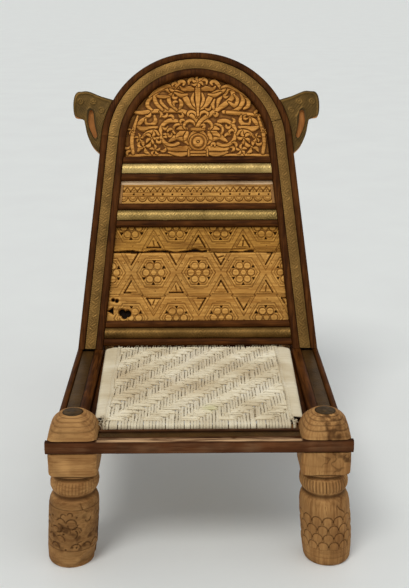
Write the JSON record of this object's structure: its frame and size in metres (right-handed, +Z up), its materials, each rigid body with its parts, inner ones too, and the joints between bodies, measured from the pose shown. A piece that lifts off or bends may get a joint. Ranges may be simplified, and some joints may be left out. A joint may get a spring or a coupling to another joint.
{
  "type": "low carved chair",
  "caption": "Low carved wooden chair with turned front legs, a woven cotton cord seat and a raked arched back with carved panels and brass strips.",
  "frame": {"origin": "centre of the bounding box at floor level, under the seat's rear part", "axes": "+Z up; the chair faces -Y, so +Y points from the front legs to the leaning back; +X to the right seen from the front"},
  "size_m": [0.5624, 0.7574, 0.8651],
  "materials": {
    "pale_wood": "matte",
    "dark_wood": "satin",
    "carved_wood": "matte",
    "aged_brass": "aged",
    "cotton_cord": "woven cord"
  },
  "bodies": {
    "root": {"arch_panel": "carved_wood", "back_arch": "dark_wood", "back_batten_left": "pale_wood", "back_batten_right": "pale_wood", "back_rail_brass_lower": "aged_brass", "back_rail_brass_middle": "aged_brass", "back_rail_brass_upper": "aged_brass", "back_rail_lower": "dark_wood", "back_rail_middle": "dark_wood", "back_rail_upper": "dark_wood", "back_stile_left": "dark_wood", "back_stile_right": "dark_wood", "ear_brass_left": "aged_brass", "ear_brass_right": "aged_brass", "ear_left": "pale_wood", "ear_right": "pale_wood", "front_lath": "dark_wood", "front_leg_left": "pale_wood", "front_leg_right": "pale_wood", "front_peg_left": "pale_wood", "front_peg_right": "pale_wood", "front_rail": "dark_wood", "front_rail_brass": "aged_brass", "hoop_brass_arch": "aged_brass", "hoop_brass_left": "aged_brass", "hoop_brass_right": "aged_brass", "lattice_panel_lower": "carved_wood", "lattice_panel_upper": "carved_wood", "leg_cap_left": "aged_brass", "leg_cap_right": "aged_brass", "narrow_panel": "carved_wood", "panel_end_left": "pale_wood", "panel_end_right": "pale_wood", "panel_lath": "pale_wood", "rear_leg_left": "pale_wood", "rear_leg_right": "pale_wood", "rear_peg_left": "pale_wood", "rear_peg_right": "pale_wood", "rear_rail": "dark_wood", "seat_bar_front": "pale_wood", "seat_bar_left": "pale_wood", "seat_bar_rear": "dark_wood", "seat_bar_right": "pale_wood", "seat_weave": "cotton_cord", "side_rail_brass_left": "aged_brass", "side_rail_brass_right": "aged_brass", "side_rail_left": "dark_wood", "side_rail_right": "dark_wood"}
  },
  "joints": []
}
